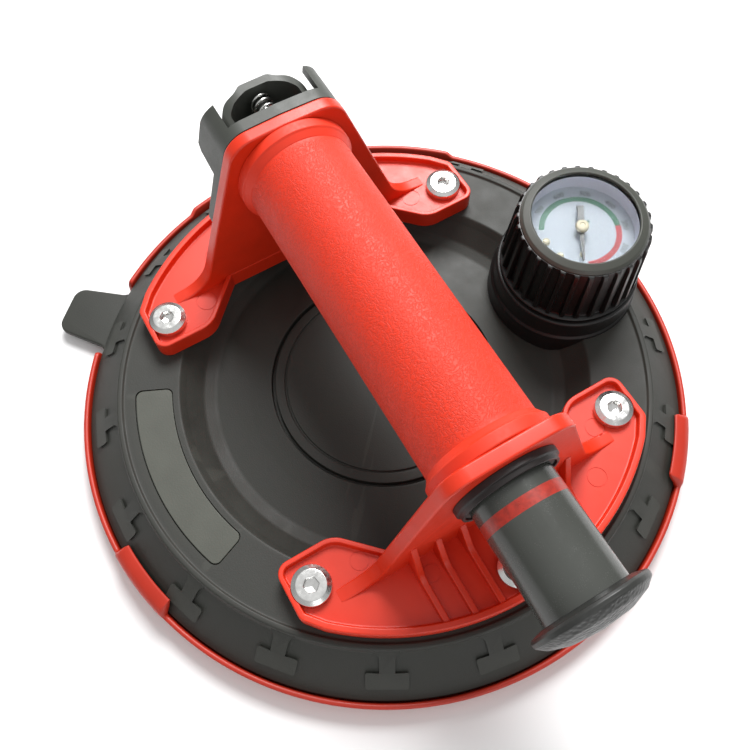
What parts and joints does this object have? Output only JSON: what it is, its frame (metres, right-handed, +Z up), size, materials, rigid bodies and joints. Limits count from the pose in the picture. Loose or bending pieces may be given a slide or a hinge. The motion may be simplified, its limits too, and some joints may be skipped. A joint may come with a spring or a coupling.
{
  "type": "vacuum suction cup",
  "caption": "Hand-pump vacuum suction lifter: round rubber pad, bridge grip with spring plunger pump, push-button release valve, vacuum gauge and clip-on pad cover.",
  "frame": {"origin": "centre of the pad cover's flat underside, on the pad's axis", "axes": "+Z up out of the pad, +X along the grip's axis to the pump knob, +Y towards the gauge"},
  "size_m": [0.209, 0.208, 0.0856],
  "materials": {
    "cover_red": "moulded, light satin",
    "pad_rubber": "moulded rubber, fine matt grain",
    "panel_grey": "matt printed panel",
    "zinc_steel": "zinc plated",
    "insert_brass": "machined",
    "bracket_red": "moulded ABS, satin gloss",
    "bolt_steel": "polished nickel plate",
    "grip_red": "leather-grained grip, smooth collars",
    "pump_black": "moulded, satin",
    "seal_rubber": "smooth",
    "plunger_black": "satin moulded tube",
    "band_red": "inlaid colour band",
    "knob_black": "pebble-grained face",
    "inner_plastic": "moulded",
    "spring_steel": "drawn wire",
    "valve_grey": "moulded, fine satin",
    "button_grey": "moulded, fine satin",
    "gauge_black": "moulded, satin gloss ribs",
    "liner_white": "painted inner ring",
    "bezel_grey": "moulded ring",
    "lens_clear": "clear flat lens",
    "dial_white": "printed dial face",
    "pin_ivory": "moulded",
    "pointer_grey": "painted stamping"
  },
  "bodies": {
    "body": {"rubber_pad": "pad_rubber", "label_panel": "panel_grey", "core_plate": "zinc_steel", "threaded_inserts": "insert_brass", "bracket_pump_end": "bracket_red", "bracket_valve_end": "bracket_red", "bracket_bolts": "bolt_steel", "grip_sleeve": "grip_red", "pump_barrel": "pump_black", "plunger_gland": "pump_black", "plunger_wiper": "seal_rubber", "return_spring": "spring_steel", "inlet_check_valve": "seal_rubber", "barrel_end_cap": "inner_plastic", "end_cap_seal": "seal_rubber", "air_port_seal": "seal_rubber", "valve_seat": "insert_brass", "valve_end_plate": "valve_grey", "valve_plate_screws": "bolt_steel", "release_spring": "spring_steel", "gauge_gasket": "seal_rubber", "gauge_stem": "insert_brass", "gauge_case": "gauge_black", "gauge_liner": "liner_white", "gauge_bezel": "bezel_grey", "gauge_lens": "lens_clear", "gauge_dial": "dial_white", "dial_pins": "pin_ivory", "gauge_movement": "insert_brass", "bourdon_tube": "insert_brass"},
    "plunger": {"plunger_tube": "plunger_black", "plunger_band": "band_red", "plunger_knob": "knob_black", "piston_head": "inner_plastic", "piston_seal": "seal_rubber", "outlet_check_valve": "seal_rubber"},
    "release": {"release_button": "button_grey", "valve_stem": "spring_steel", "valve_disc": "seal_rubber"},
    "pointer": {"gauge_pointer": "pointer_grey", "pointer_hub": "pin_ivory"},
    "cover": {"pad_cover": "cover_red"}
  },
  "joints": [
    {"name": "pump_stroke", "type": "slide", "parent": "body", "child": "plunger", "axis": [-1, 0, 0], "range_m": [0, 0.03], "stiffness_N_per_m": 350, "springref_m": -0.03, "deforming": ["return_spring"]},
    {"name": "release_press", "type": "slide", "parent": "body", "child": "release", "axis": [1, 0, 0], "range_m": [0, 0.003], "stiffness_N_per_m": 900, "springref_m": -0.003, "deforming": ["release_spring"]},
    {"name": "pointer_turn", "type": "hinge", "parent": "body", "child": "pointer", "pos_m": [0.0005, 0.072, 0.0506], "axis": [0, 0, 1], "range_deg": [0, 262], "stiffness_Nm_per_rad": 0.0002, "springref_deg": -17.19},
    {"name": "pad_cover_off", "type": "slide", "parent": "body", "child": "cover", "axis": [0, 0, -1], "range_m": [0, 0.025]}
  ]
}
